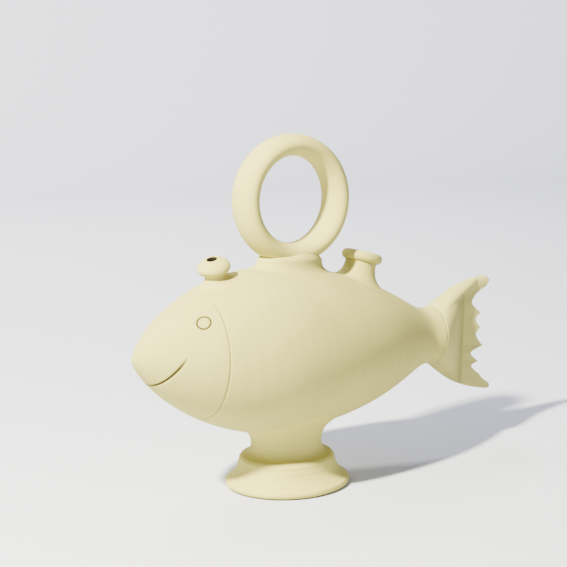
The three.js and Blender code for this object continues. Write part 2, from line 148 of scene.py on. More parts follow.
# Filling neck
FILLER_BORE = 9.5
FILLER_WALL = 4.3
FILLER_FLARE = 13
FILLER_NECK = FILLER_BORE + FILLER_WALL
FILLER_ROOT = FILLER_NECK + FILLER_FLARE
FILLER_LIP_OVERHANG = 4.2
FILLER_LIP_HEIGHT = 9
FILLER_LIP_CORNER = 0.6
FILLER_HEIGHT = 24.5
FILLER_LEAN = math.radians(13.5)
FILLER_OFF_COLLAR = 3.8
FILLER_PLACE = RING_PLACE + COLLAR_STRETCH * COLLAR_ROOT + FILLER_OFF_COLLAR + FILLER_ROOT

# Drinking spout
SPOUT_BORE = 4
SPOUT_WALL = 5.5
SPOUT_FLARE = 13
SPOUT_NECK = SPOUT_BORE + SPOUT_WALL
SPOUT_ROOT = SPOUT_NECK + SPOUT_FLARE
SPOUT_BEAD_OVERHANG = 4.5
SPOUT_BEAD = SPOUT_NECK + SPOUT_BEAD_OVERHANG
SPOUT_BEAD_HALF_DEPTH = 7.5
SPOUT_BEAD_HEIGHT = 11.8
SPOUT_GROOVE_DROP = 2.4
SPOUT_GROOVE = (0.8, 0.45)
SPOUT_MOUTH_FLARE = 1.1
SPOUT_MOUTH_DEPTH = 2.5
SPOUT_TILT = 0.17
SPOUT_LEAN = math.radians(-18)
SPOUT_OFF_COLLAR = 7
SPOUT_PLACE = RING_PLACE - COLLAR_STRETCH * COLLAR_ROOT - SPOUT_OFF_COLLAR - SPOUT_ROOT

# Foot
FOOT_HEIGHT = 49.3
FOOT_BORE = 24
STEM_RADIUS = 30.5
STEM_FLARE = 17
STEM_TOE_SPREAD = 6.5
STEM_ROOT = STEM_RADIUS + STEM_FLARE
STEM_TOE = STEM_RADIUS + STEM_TOE_SPREAD
STEM_NECK_HEIGHT = 12.3
BASE_HEIGHT = 27.5
STEM_HEIGHT = FOOT_HEIGHT - BASE_HEIGHT
BASE_SKIRT_HEIGHT = 19.5
BASE_SHOULDER_ROUND = 4.5
BASE_WALL_TOP = BASE_HEIGHT - BASE_SHOULDER_ROUND
BASE_RADIUS = 53.6
BASE_EDGE_ROUND = 3.2
BASE_RING_WIDTH = 6
BASE_UNDERCUT = 0.9
BASE_SKIRT_DIP = 8

# How far a root's rim lies under the skin, and how deep its underside is
ROOT_SUNK = 0.45
UNDERSIDE_SUNK = 3

# Stage, in metres
SWEEP_FLAT = 2.6
SWEEP_BEND = 0.9
SWEEP_TOP = 1.3
SWEEP_FACING = math.radians(55)
PAPER_TINT = (0.575, 0.585, 0.625)
SKY_TINT = (0.86, 0.95, 1.42)
SKY_STRENGTH = 0.49
CAMERA_PLACE = (-0.71424, -0.9883, 0.372)
CAMERA_AHEAD = (0.55491, 0.81571, -0.16338)
CAMERA_UP = (0.12961, 0.13281, 0.98263)
CAMERA_LENS = 90.8

foot_low, foot_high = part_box("foot_base")
FOOT_X = (foot_low.x + foot_high.x) / 2 / MM


# Curves

def smooth(value, low, high):
    """A step from 0 at low to 1 at high, level at both ends: three squares less two cubes of the share."""
    share = np.clip((value - low) / (high - low), 0, 1)
    return share ** 2 * (3 - 2 * share)


def cubic(controls, share):
    """A cubic curve through four control values, weighted by the powers of the share and of its rest."""
    first, second, third, fourth = controls
    rest = 1 - share
    return rest ** 3 * first + 3 * rest * share * (rest * second + share * third) + share ** 3 * fourth


def bend(start, corner, end, steps):
    """A quarter bend: a square curve that leaves start towards the corner and reaches end from the corner."""
    share = np.linspace(0, 1, steps + 1)[:, None]
    start, corner, end = (np.asarray(point, float) for point in (start, corner, end))
    return (1 - share) ** 2 * start + 2 * share * (1 - share) * corner + share ** 2 * end


def oval(centre, across, up, first, last, steps):
    """Part of an ellipse round a centre, by the cosine across and the sine up, from one angle to another."""
    angle = np.linspace(first, last, steps + 1)
    return np.stack([centre[0] + across * np.cos(angle), centre[1] + up * np.sin(angle)], -1)


def groove(distance, half_width, depth):
    """Depth of a scored line: a bell curve over the distance from the line."""
    return depth * np.exp(-(distance / half_width) ** 2)


def waver(place, angle, seed, size):
    """Unevenness left by the hands: a few waves along the axis and round it, seeded phases, 0 to size."""
    phases = np.random.default_rng(seed).uniform(0, TURN, 6)
    waves = np.sin(place / 17 + phases[0] + np.sin(angle + phases[1]))
    waves = waves + np.sin(place / 29 + phases[2] + 2 * angle) + np.sin(3 * angle + phases[3] + place / 41)
    waves = waves + 0.5 * np.sin(5 * angle + phases[4] - place / 23)
    return size * (0.5 + waves / 7)


def finger_rings(place, angle, spacing, size):
    """Rings left by the potter's finger: a wave along the axis that drifts a little round it, 0 to size."""
    drift = 0.9 * np.sin(angle + place / 90)
    swell = 0.6 + 0.4 * np.sin(place / 13 + 0.6 * np.sin(angle))
    return size * swell * (0.5 + 0.5 * np.sin(TURN * place / spacing + drift))


# Frames

def to_row(points):
    """Fish to row: a turn about the cross axis by the nose's rise, then the lift over the foot, in metres."""
    along, across, up = points[..., 0], points[..., 1], points[..., 2]
    forward = along * math.cos(NOSE_RISE) + up * math.sin(NOSE_RISE) + FOOT_X
    height = up * math.cos(NOSE_RISE) - along * math.sin(NOSE_RISE) + FISH_LIFT
    return np.stack([forward, across, height], -1) * MM


def foot_to_row(points):
    """Foot to row: a shift from the foot's axis, in metres."""
    return (points + np.array([FOOT_X, 0, 0])) * MM


def turned_down(vector):
    """A direction of the row seen in the fish: the turn of the nose's rise undone."""
    along, across, up = vector
    sine, cosine = math.sin(NOSE_RISE), math.cos(NOSE_RISE)
    return np.array([along * cosine - up * sine, across, along * sine + up * cosine])


# Meshes

def ring_mesh(name, grid, looped):
    """A mesh of four-cornered faces over a grid of points. Its columns go round in a ring, and each column
    closes on itself when it is looped."""
    columns, rows = grid.shape[:2]
    column = np.arange(columns)[:, None]
    row = np.arange(rows if looped else rows - 1)[None, :]
    ahead = (column + 1) % columns
    above = (row + 1) % rows
    corners = [column * rows + row, ahead * rows + row, ahead * rows + above, column * rows + above]
    faces = np.stack(np.broadcast_arrays(*corners), -1).reshape(-1, 4)
    mesh = bpy.data.meshes.new(name)
    mesh.from_pydata(grid.reshape(-1, 3).tolist(), [], faces.tolist())
    return mesh


def clay_piece(name, grid, looped, nodes, material, scored=None):
    """A closed skin over a grid of points. Where the columns aren't looped, their ends meet at two poles. Each
    point keeps an amount of painted shade, from how deep it is scored, inside the bores and along the fin's
    crease."""
    columns, rows = grid.shape[:2]
    mesh = ring_mesh(name, grid, looped)
    depth = np.zeros((columns, rows)) if scored is None else scored
    # The scored attribute holds painted shade for the clay's colour.
    mesh.attributes.new("scored", "FLOAT", "POINT").data.foreach_set("value", depth.ravel())
    work = bmesh.new()
    work.from_mesh(mesh)
    bmesh.ops.remove_doubles(work, verts=work.verts, dist=1e-7)
    bmesh.ops.recalc_face_normals(work, faces=work.faces)
    for face in work.faces:
        face.smooth = True
    work.to_mesh(mesh)
    work.free()
    mesh.materials.append(material)
    made = bpy.data.objects.new(name, mesh)
    bpy.context.scene.collection.objects.link(made)
    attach(made, "root")
    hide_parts(*nodes)
    return made


def drilled(piece, start, direction, radius, length):
    """Cuts a round bore through a piece: a cylinder along a line is taken away from its mesh."""
    work = bmesh.new()
    bmesh.ops.create_cone(work, cap_ends=True, segments=96, radius1=radius, radius2=radius, depth=length)
    mesh = bpy.data.meshes.new("bore")
    work.to_mesh(mesh)
    work.free()
    cutter = bpy.data.objects.new("bore", mesh)
    bpy.context.scene.collection.objects.link(cutter)
    mesh.transform(Matrix.Translation(start) @ direction.to_track_quat("Z", "Y").to_matrix().to_4x4())
    cut = piece.modifiers.new("bore", "BOOLEAN")
    cut.operation = "DIFFERENCE"
    cut.solver = "EXACT"
    cut.object = cutter
    bpy.context.view_layer.update()
    cutting = piece.evaluated_get(bpy.context.evaluated_depsgraph_get())
    result = bpy.data.meshes.new_from_object(cutting)
    piece.modifiers.clear()
    old = piece.data
    piece.data = result
    result.name = old.name
    bpy.data.meshes.remove(old)
    bpy.data.objects.remove(cutter)
    bpy.data.meshes.remove(mesh)


# Body

curve_share = np.linspace(0, 1, 6001)
rear_lengths = cubic((0, REAR_FULLNESS, 1 - WAIST_TIGHTNESS, 1), curve_share)
rear_radii = cubic((BODY_RADIUS, BODY_RADIUS, WAIST_RADIUS, WAIST_RADIUS), curve_share)


def body_radius(place):
    """Ahead of the fullest place a blunt power curve, behind it a cubic to the waist, then a slow square
    opening."""
    ahead = np.clip((FULLEST - place) / FRONT_LENGTH, 0, 1)
    front = BODY_RADIUS * (1 - ahead ** NOSE_POWER) ** NOSE_BLUNTNESS
    rear = np.interp((place - FULLEST) / REAR_LENGTH, rear_lengths, rear_radii)
    behind = np.maximum(place - WAIST, 0)
    return np.where(place < FULLEST, front, rear + WAIST_OPENING * behind ** 2)


def body_tilt(place):
    """Angle between the skin and the axis, from the rise over a short step."""
    step = 0.02
    inside = np.maximum(place - step, NOSE)
    return np.arctan2(body_radius(place + step) - body_radius(inside), place + step - inside)


def on_body(place, angle, depth):
    """A point at a place along the axis and an angle from the back, sunk below the skin along its normal."""
    tilt = body_tilt(place)
    radius = np.maximum(body_radius(place) - depth * np.cos(tilt), 0)
    along = place + depth * np.sin(tilt)
    return np.stack(np.broadcast_arrays(along, -radius * np.sin(angle), radius * np.cos(angle)), -1)


def skin_height(points, up):
    """Distance from points to the skin along a direction out of the body, halved again and again."""
    low = np.full(points.shape[:-1], -BODY_RADIUS)
    high = np.full(points.shape[:-1], 2 * BODY_RADIUS)
    for _ in range(40):
        middle = (low + high) / 2
        probe = points + middle[..., None] * up
        inside = np.hypot(probe[..., 1], probe[..., 2]) < body_radius(probe[..., 0])
        low = np.where(inside, middle, low)
        high = np.where(inside, high, middle)
    return (low + high) / 2


eye_centre = on_body(np.array(EYE_PLACE), np.array(EYE_ANGLE), 0)


def eye_line(points):
    """A circle scored on each side: a groove over the distance from the eye's centre less its radius."""
    mirrored = np.stack([points[..., 0], -np.abs(points[..., 1]), points[..., 2]], -1)
    reach = np.linalg.norm(mirrored - eye_centre, axis=-1)
    return groove(reach - EYE_RADIUS, *EYE_GROOVE)


def mouth_line(points):
    """A slanted flat cut round the chin, ended at the corners: a groove over the distance from that plane."""
    along, up = points[..., 0], points[..., 2]
    off_plane = (up - MOUTH_LOW - MOUTH_SLOPE * (along - MOUTH_FRONT)) / math.hypot(1, MOUTH_SLOPE)
    past_corner = np.maximum(along - MOUTH_CORNER, 0) * math.hypot(1, MOUTH_SLOPE)
    taper = 0.35 + 0.65 * smooth(along, MOUTH_CORNER + 1, MOUTH_CORNER - 6)
    return taper * groove(np.hypot(off_plane, past_corner), *MOUTH_GROOVE)


def tail_line(points):
    """A slanted ring scored where the tail was joined: a groove over the distance along the axis."""
    return groove(points[..., 0] - TAIL_LINE - TAIL_LINE_SLANT * points[..., 2], *TAIL_GROOVE)


def gill_line(place, angle):
    """A ring scored behind the head, deep on the cheeks and faint across the back."""
    from_back = np.arccos(np.cos(angle))
    return (0.3 + 0.7 * smooth(from_back, 0.35, 0.8)) * groove(place - GILL, *GILL_GROOVE)


def hand_marks(place, angle):
    """Hand waver and finger rings, which die out at the nose and at the tail's seam."""
    marks = waver(place, angle, 5, BODY_WAVER) + finger_rings(place, angle, *BODY_RINGS)
    return marks * smooth(place, NOSE, NOSE + 12) * smooth(SEAM - place, 0, 10)


def head(material):
    """The fish's head: the body's curve turned about the axis from the nose to the gill line, with the eyes
    and the mouth scored in, and the chamber's wall inside."""
    columns = 560
    angle = np.arange(columns)[:, None] * TURN / columns
    place = NOSE + (GILL - NOSE) * np.linspace(0, 1, 150)[None, :] ** 1.3
    flat = on_body(place, angle, 0)
    eyes, mouth, gill = eye_line(flat), mouth_line(flat), gill_line(place, angle)
    outside = on_body(place, angle, hand_marks(place, angle) + eyes + mouth + gill)
    outside[:, 0] = (NOSE, 0, 0)
    inner = np.linspace(GILL, NOSE + WALL, 10)[None, :]
    inside = on_body(inner, angle, WALL)
    inside[:, -1, 1:] = 0
    grid = np.concatenate([outside, inside], 1)
    # Painted shade in the grooves: the eye, mouth and gill lines are darkened in colour as well as cut in
    # form.
    scored = np.concatenate([eyes / 2 + mouth / 5 + gill / 10, np.zeros((columns, 10))], 1)
    return clay_piece("head", to_row(grid), False, ["body_shell"], material, scored)


def trunk(material):
    """The fish's body behind the gill line: the same curve turned about the axis as far as the tail, and the
    chamber's wall inside it."""
    columns = 320
    angle = np.arange(columns)[:, None] * TURN / columns
    near_gill = np.linspace(GILL, GILL + 3, 13)[:-1]
    place = np.concatenate([near_gill, np.linspace(GILL + 3, SEAM, 262)])[None, :]
    lines = gill_line(place, angle) + tail_line(on_body(place, angle, 0))
    outside = on_body(place, angle, hand_marks(place, angle) + lines)
    inside = on_body(np.linspace(SEAM, GILL, 16)[None, :], angle, WALL)
    inside[:, 0, 0] = SEAM
    grid = np.concatenate([outside, inside], 1)
    # Painted shade in the gill and tail grooves, darkened in colour as well as cut in form.
    scored = np.concatenate([lines / 10, np.zeros((columns, 16))], 1)
    return clay_piece("trunk", to_row(grid), True, ["body_shell"], material, scored)


# Necks on the back

def on_back(place, lean):
    """A frame on the body's back: its origin on the skin and its three directions, leaning to the tail."""
    origin = np.array([place, 0, body_radius(np.array(float(place)))])
    along = np.array([math.cos(lean), 0, -math.sin(lean)])
    up = np.array([math.sin(lean), 0, math.cos(lean)])
    return origin, along, np.array([0, 1, 0]), up


def placed(frame_on_body, along, across, height):
    """Points of a frame on the body: its origin plus each direction times its amount."""
    origin, first, second, up = frame_on_body
    return origin + along[..., None] * first + across[..., None] * second + height[..., None] * up


def saddle_heights(frame_on_body, stretch, angle, radius):
    """Height of the skin over a frame, at a radius and an angle from its axis."""
    along = stretch * radius * np.cos(angle)
    across = radius * np.sin(angle)
    points = placed(frame_on_body, along, across, np.zeros_like(along + across))
    return skin_height(points, frame_on_body[3])


def flared_root(frame_on_body, stretch, angle, neck, root, flare_top, steps):
    """A root that runs out on the skin: the radius falls from the root's to the neck's by a square, and the
    height leaves the skin, a little below it at the rim, by the square of the way up to the flare's top."""
    way = np.linspace(0, 1, steps)[None, :]
    radius = neck + (root - neck) * (1 - way) ** 2 + 0 * angle
    skin = saddle_heights(frame_on_body, stretch, angle, radius)
    height = skin + way ** 2 * (flare_top - skin) - ROOT_SUNK * (1 - way) ** 2
    return radius, height


def neck_grid(frame_on_body, angle, root_radius, root_height, bore, outline):
    """A bored neck: the bore's foot below the wall, the underside sunk in the clay, the flared root, then an
    outline of radius and height that is the same all round and ends at the top of the bore."""
    columns = len(angle)
    foot = saddle_heights(frame_on_body, 1, angle, np.full_like(angle, bore)) - WALL - 1
    rim = root_height[:, :1] - UNDERSIDE_SUNK
    radius = np.concatenate([
        np.full((columns, 1), bore),
        root_radius[:, :1],
        root_radius,
        np.repeat(outline[None, :, 0], columns, 0),
    ], 1)
    height = np.concatenate([foot, rim, root_height, np.repeat(outline[None, :, 1], columns, 0)], 1)
    return placed(frame_on_body, radius * np.cos(angle), radius * np.sin(angle), height)


def filler_neck(material):
    """Filling neck: a flared root, a short throat and a thick rolled lip that rounds over into the bore."""
    angle = np.arange(192)[:, None] * TURN / 192
    seat = on_back(FILLER_PLACE, FILLER_LEAN)
    lip = FILLER_LIP_HEIGHT / 2
    centre = (FILLER_NECK + FILLER_LIP_OVERHANG - lip, FILLER_HEIGHT - lip)
    inner = centre[0] - FILLER_BORE
    under = centre[1] - lip
    throat_top = under - FILLER_LIP_CORNER
    radius, height = flared_root(seat, 1, angle, FILLER_NECK, FILLER_ROOT, throat_top, 40)
    outline = np.concatenate([
        bend((FILLER_NECK, throat_top), (FILLER_NECK, under), (centre[0], under), 4)[1:-1],
        oval(centre, lip, lip, -np.pi / 2, np.pi / 2, 32),
        oval((centre[0], FILLER_HEIGHT - inner), inner, inner, np.pi / 2, np.pi, 16)[1:],
    ])
    grid = neck_grid(seat, angle, radius, height, FILLER_BORE, outline)
    return clay_piece("filling_neck", to_row(grid), True, ["filler_neck"], material)


def drinking_spout(material):
    """Drinking spout: a flared root, a short neck and a flattened bead with a groove and a small hole, tilted
    by a rise in proportion to the distance across."""
    angle = np.arange(160)[:, None] * TURN / 160
    seat = on_back(SPOUT_PLACE, SPOUT_LEAN)
    first = -math.acos(SPOUT_NECK / SPOUT_BEAD)
    last = math.acos((SPOUT_BORE + SPOUT_MOUTH_FLARE) / SPOUT_BEAD)
    bead = oval((0, SPOUT_BEAD_HEIGHT), SPOUT_BEAD, SPOUT_BEAD_HALF_DEPTH, first, last, 48)
    groove_height = SPOUT_BEAD_HEIGHT - SPOUT_GROOVE_DROP
    bead[:, 0] -= groove(bead[:, 1] - groove_height, *SPOUT_GROOVE)
    flare_top = (SPOUT_BEAD_HEIGHT - SPOUT_BEAD_HALF_DEPTH + bead[0, 1]) / 2
    radius, height = flared_root(seat, 1, angle, SPOUT_NECK, SPOUT_ROOT, flare_top, 40)
    mouth = bead[-1]
    throat_foot = (SPOUT_BORE, mouth[1] - SPOUT_MOUTH_DEPTH)
    throat = bend(mouth, (SPOUT_BORE, mouth[1] + 0.1), throat_foot, 8)[1:]
    grid = neck_grid(seat, angle, radius, height, SPOUT_BORE, np.concatenate([bead, throat]))
    grid[..., 2] += SPOUT_TILT * grid[..., 1] * smooth(grid[..., 2] - seat[0][2], 4, 10)
    # Painted shade inside the hole: the bore's foot and the throat under the mouth are darkened to near black.
    dark = np.zeros(grid.shape[:2])
    dark[:, 0] = 1
    dark[:, -len(throat):] = smooth(np.arange(len(throat)), 0, 3)
    grid = to_row(grid)
    return clay_piece("drinking_spout_bead", grid, True, ["drinking_spout"], material, dark)


# Ring and collar

def ring(material):
    """Carrying ring: an oval section carried round a circle, a little uneven under the hand."""
    around = np.arange(320)[:, None] * TURN / 320
    section = np.arange(96)[None, :] * TURN / 96
    uneven = waver(around * 40, section, 11, RING_WAVER)
    out = RING_RADIUS + (RING_HALF_DEPTH - uneven) * np.cos(section)
    across = (RING_HALF_WIDTH - uneven) * np.sin(section) + 0 * around
    grid = placed(on_back(RING_PLACE, 0), out * np.sin(around), across, RING_LIFT + out * np.cos(around))
    return clay_piece("carrying_ring", to_row(grid), True, ["handle_ring"], material)


def collar(material):
    """Collar: an oval saddle with a flared root, a rounded corner and a flat top that is drawn up to the
    ring's sides by a falling exponential of the distance from the ring."""
    angle = np.arange(256)[:, None] * TURN / 256
    seat = on_back(RING_PLACE, 0)
    corner = COLLAR_HEIGHT - COLLAR_CORNER_ROUND
    radius, height = flared_root(seat, COLLAR_STRETCH, angle, COLLAR_HALF_WIDTH, COLLAR_ROOT, corner, 32)
    centre = (COLLAR_HALF_WIDTH - COLLAR_CORNER_ROUND, corner)
    edge = oval(centre, COLLAR_CORNER_ROUND, COLLAR_CORNER_ROUND, 0, np.pi / 2, 8)[1:]
    top = np.stack([np.linspace(centre[0], 0, 28)[1:], np.full(27, COLLAR_HEIGHT)], -1)
    outline = np.concatenate([edge, top])
    middle = saddle_heights(seat, COLLAR_STRETCH, angle, np.zeros_like(angle)) - UNDERSIDE_SUNK
    under = height[:, :1] - UNDERSIDE_SUNK
    columns = len(angle)
    radius = np.concatenate([
        np.zeros((columns, 1)), radius[:, :1], radius, np.repeat(outline[None, :, 0], columns, 0)], 1)
    height = np.concatenate([middle, under, height, np.repeat(outline[None, :, 1], columns, 0)], 1)
    along = COLLAR_STRETCH * radius * np.cos(angle)
    across = radius * np.sin(angle)
    off_circle = np.hypot(along, height - RING_LIFT) - RING_RADIUS
    off_ring = np.hypot(off_circle / RING_HALF_DEPTH, across / RING_HALF_WIDTH)
    drawn = (2 + 2.5 * smooth(along, -14, 4)) * smooth(np.abs(across), 7, 13)
    drawn = drawn * np.exp(-np.maximum(off_ring - 1, 0) * RING_HALF_WIDTH / 3)
    drawn[:, :-len(outline)] = 0
    grid = placed(seat, along, across, height + drawn)
    return clay_piece("ring_collar", to_row(grid), False, ["handle_collar"], material)


# Foot

def stem(material):
    """Hollow stem, from the belly down: a flared root on the skin, a waist and a toe spread on the base."""
    angle = np.arange(224)[:, None] * TURN / 224
    origin = turned_down((0, 0, FOOT_HEIGHT - FISH_LIFT))
    seat = (origin, turned_down((1, 0, 0)), np.array([0, -1, 0]), turned_down((0, 0, -1)))
    radius, height = flared_root(seat, 1, angle, STEM_RADIUS, STEM_ROOT, STEM_NECK_HEIGHT, 40)
    toe = STEM_HEIGHT + 0.05
    outline = np.concatenate([
        bend((STEM_RADIUS, STEM_NECK_HEIGHT), (STEM_RADIUS, toe), (STEM_TOE + 1, toe), 24)[1:],
        [(STEM_TOE, STEM_HEIGHT + 1), (FOOT_BORE, STEM_HEIGHT + 1)],
    ])
    grid = neck_grid(seat, angle, radius, height, FOOT_BORE, outline)
    return clay_piece("stem", to_row(grid), True, ["foot_stem"], material)


def base(material):
    """Hollow base: ledge, round shoulder, short wall, flared skirt, round edge, standing ring and bell,
    turned about the upright axis with faint finger rings on the outside."""
    edge_centre = (BASE_RADIUS - BASE_EDGE_ROUND, BASE_EDGE_ROUND + BASE_UNDERCUT)
    edge = oval(edge_centre, BASE_EDGE_ROUND, BASE_EDGE_ROUND, np.pi / 4, -np.pi / 2, 18)
    shoulder = STEM_TOE + BASE_SHOULDER_ROUND
    wall_foot = (shoulder + 1, BASE_SKIRT_HEIGHT)
    hollow = (edge_centre[0] - BASE_RING_WIDTH, 0)
    outside = np.concatenate([
        [(FOOT_BORE, BASE_HEIGHT), (STEM_TOE - 3, BASE_HEIGHT)],
        oval((STEM_TOE, BASE_WALL_TOP), BASE_SHOULDER_ROUND, BASE_SHOULDER_ROUND, np.pi / 2, 0, 14),
        bend(wall_foot, (wall_foot[0] + 1, BASE_SKIRT_HEIGHT - BASE_SKIRT_DIP), edge[0], 48),
        edge[1:],
        [(edge_centre[0] - 2, BASE_UNDERCUT), (edge_centre[0] - 2.5, 0)],
    ])
    bell = ((hollow[0] + FOOT_BORE) / 2, BASE_HEIGHT / 4)
    inside = bend(hollow, bell, (FOOT_BORE, BASE_HEIGHT - BASE_SHOULDER_ROUND / 2), 16)
    angle = np.arange(288)[:, None] * TURN / 288
    height = np.concatenate([outside[:, 1], inside[:, 1]])[None, :] + 0 * angle
    plain = np.concatenate([outside[:, 0], inside[:, 0]])[None, :]
    turning = smooth(height, 3, 6) * (np.arange(plain.size) < len(outside))[None, :]
    marks = finger_rings(height, angle, *BASE_RINGS) + waver(height, angle, 23, BASE_WAVER)
    radius = plain - turning * marks
    grid = np.stack([radius * np.cos(angle), radius * np.sin(angle), height], -1)
    return clay_piece("base", foot_to_row(grid), True, ["foot_base"], material)


# Tail

fin_root = float(body_radius(np.array(float(SEAM))))


def fin_edge(distance, reach, height):
    """Upper or lower edge: a cubic from the seam's radius out to the lobe, at a distance behind the seam."""
    lengths = cubic((0, FIN_FLARE_START * reach, FIN_FLARE_END * reach, reach), curve_share)
    heights = cubic((fin_root, fin_root + FIN_FLARE_SWELL, FIN_FLARE_HEIGHT * height, height), curve_share)
    return np.interp(distance, lengths, heights)


def fin_reach(share):
    """Length of the fin at a height share: from the notch at one end of a cut to the tooth at the other by a
    power of the way between them, then averaged over a short bell curve so that no tooth is a needle."""
    fine = np.linspace(-1, 1, 1601)
    after = np.clip(np.searchsorted(FIN_CUTS[:, 0], fine), 1, len(FIN_CUTS) - 1)
    first, second = FIN_CUTS[after - 1], FIN_CUTS[after]
    rising = (second[:, 1] > first[:, 1])[:, None]
    notch, tooth = np.where(rising, first, second), np.where(rising, second, first)
    way = np.clip((fine - notch[:, 0]) / (tooth[:, 0] - notch[:, 0]), 0, 1)
    line = notch[:, 1] + (tooth[:, 1] - notch[:, 1]) * way ** FIN_NOTCH_ROUNDNESS
    spread = np.exp(-(np.arange(-20, 21) / 7.0) ** 2)
    line = np.convolve(np.pad(line, 20, mode="edge"), spread / spread.sum(), mode="valid")
    return np.interp(share, fine, line)


def fin(material):
    """Tail fin: a tube pinched flat. Across a height share and along the distance behind the seam, the half
    thickness falls by a power of the way to the crease, which is swept back under the rim, and grows a little
    from there to the end. The section turns from round to square, a rim stands along the upper edge, and the
    cut end is rounded over by a quarter circle. Painted shade by a bell curve lies along the crease."""
    levels = 221
    share = np.linspace(-1, 1, levels)
    share = np.sign(share) * (1 - (1 - np.abs(share)) ** 1.35)
    loop = np.concatenate([share, share[-2:0:-1]])[:, None]
    side = np.concatenate([-np.ones(levels), np.ones(levels - 2)])[:, None]
    reach = fin_reach(loop)
    under_rim = smooth(loop, FIN_RIM_START, FIN_RIM_FULL)
    crease = FIN_CREASE + FIN_CREASE_SWEEP * under_rim
    tube = crease * np.sin(np.linspace(0, np.pi / 2, 80))[None, :]
    slab = crease + (reach - crease) * np.sin(np.linspace(0, np.pi / 2, 61)[1:])[None, :]
    distance = np.concatenate([tube, slab], 1)
    upper = fin_edge(distance, FIN_UPPER_REACH, FIN_UPPER_HEIGHT)
    lower = -fin_edge(distance, FIN_LOWER_REACH, FIN_LOWER_HEIGHT)
    height = (upper + lower + (upper - lower) * loop) / 2
    pinch = np.minimum(distance / crease, 1)
    power = 2 + FIN_SQUARENESS * pinch ** 4
    roundness = (1 - np.abs(loop) ** power) ** (1 / power)
    fall = 1 - pinch ** FIN_FALL
    half = FIN_HALF_CREASE + (fin_root - FIN_HALF_CREASE) * fall + FIN_RIM_BULGE * pinch * under_rim
    half = half + (FIN_HALF_SLAB - FIN_HALF_CREASE) * np.maximum(distance - crease, 0) / (reach - crease)
    to_end = np.clip((reach - distance) / FIN_EDGE_ROUND, 0, 1)
    ended = np.sqrt(1 - (1 - to_end) ** 2)
    uneven = waver(distance, loop * 3 + side, 31, FIN_WAVER) * smooth(distance, 6, 24)
    points = np.stack([SEAM + distance, side * (half - uneven) * roundness * ended, height], -1)
    line = tail_line(points)
    points = points - line[..., None] * np.array([0, 1, 1]) * points / fin_root
    start = np.zeros((len(loop), 1, 3))
    start[..., 0] = SEAM
    end = points[:, -1:] * np.array([1, 0, 1])
    grid = np.concatenate([start, points, end], 1)
    # Painted shade along the crease: a bell curve on either side of it that fades under the upper rim, added
    # to the painted shade of the scored tail line.
    past = distance - crease
    crease_shade = groove(past, np.where(past < 0, CREASE_SHADE_AHEAD, CREASE_SHADE_BEHIND), CREASE_SHADE_STRENGTH)
    crease_shade = crease_shade * smooth(0.92 - loop, 0, 0.12)
    scored = np.pad(line / 10 + crease_shade, ((0, 0), (1, 1)))
    return clay_piece("tail", to_row(grid), False, ["tail_fin"], material, scored)


# Clay

